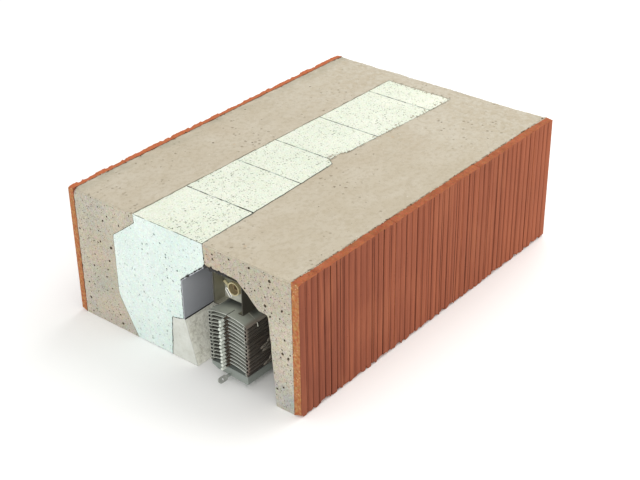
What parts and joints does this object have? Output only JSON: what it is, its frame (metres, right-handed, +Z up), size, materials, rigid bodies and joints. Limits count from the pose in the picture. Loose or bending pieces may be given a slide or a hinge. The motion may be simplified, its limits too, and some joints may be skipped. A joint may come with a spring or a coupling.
{
  "type": "roller shutter lintel",
  "caption": "Concrete lintel with ribbed clay facings and a foam core; a stacked slat blind hangs from a headrail in the pocket that opens at the underside and at the cut end.",
  "frame": {"origin": "centre of the bounding box on the bearing face, the underside", "axes": "+X towards the outer facing over the blind pocket, +Y along the lintel from the cut end to the closed end, +Z up"},
  "size_m": [0.49, 0.726, 0.238],
  "materials": {
    "concrete": "trowelled top, sawn end with air pores",
    "clay": "fired, unglazed, ribbed",
    "white_foam": "cut bead foam",
    "grey_foam": "rough foam with thin render",
    "slate_sheet": "smooth matt sheet",
    "galvanised_sheet": "dull zinc",
    "cream_moulding": "moulded",
    "guide_pin": "moulded",
    "slat_enamel": "satin enamel",
    "rail_grey": "satin enamel",
    "ladder_cord": "braided cord"
  },
  "bodies": {
    "root": {"concrete_body": "concrete", "inner_facing_tile_1": "clay", "outer_facing_tile_1": "clay", "inner_facing_tile_2": "clay", "outer_facing_tile_2": "clay", "inner_facing_tile_3": "clay", "outer_facing_tile_3": "clay", "insulation_block_1": "white_foam", "insulation_block_2": "white_foam", "insulation_block_3": "white_foam", "insulation_block_4": "white_foam", "insulation_block_5": "white_foam", "insulation_block_6": "white_foam", "lower_insulation_strip": "grey_foam", "pocket_lining": "slate_sheet", "headrail": "galvanised_sheet", "bearing_plate_near": "galvanised_sheet", "bearing_bush_near": "cream_moulding", "guide_pins_near": "guide_pin", "rail_cap_near": "rail_grey", "bearing_plate_far": "galvanised_sheet", "bearing_bush_far": "cream_moulding", "guide_pins_far": "guide_pin", "rail_cap_far": "rail_grey", "tilt_shaft": "galvanised_sheet", "headrail_clip_1": "galvanised_sheet", "ladder_drum_1": "cream_moulding", "ladder_cord_1_inner": "ladder_cord", "ladder_cord_1_outer": "ladder_cord", "headrail_clip_2": "galvanised_sheet", "ladder_drum_2": "cream_moulding", "ladder_cord_2_inner": "ladder_cord", "ladder_cord_2_outer": "ladder_cord", "slat_01": "slat_enamel", "slat_02": "slat_enamel", "slat_03": "slat_enamel", "slat_04": "slat_enamel", "slat_05": "slat_enamel", "slat_06": "slat_enamel", "slat_07": "slat_enamel", "slat_08": "slat_enamel", "slat_09": "slat_enamel", "slat_10": "slat_enamel", "slat_11": "slat_enamel", "slat_12": "slat_enamel", "slat_13": "slat_enamel", "slat_14": "slat_enamel", "bottom_rail": "rail_grey"}
  },
  "joints": []
}
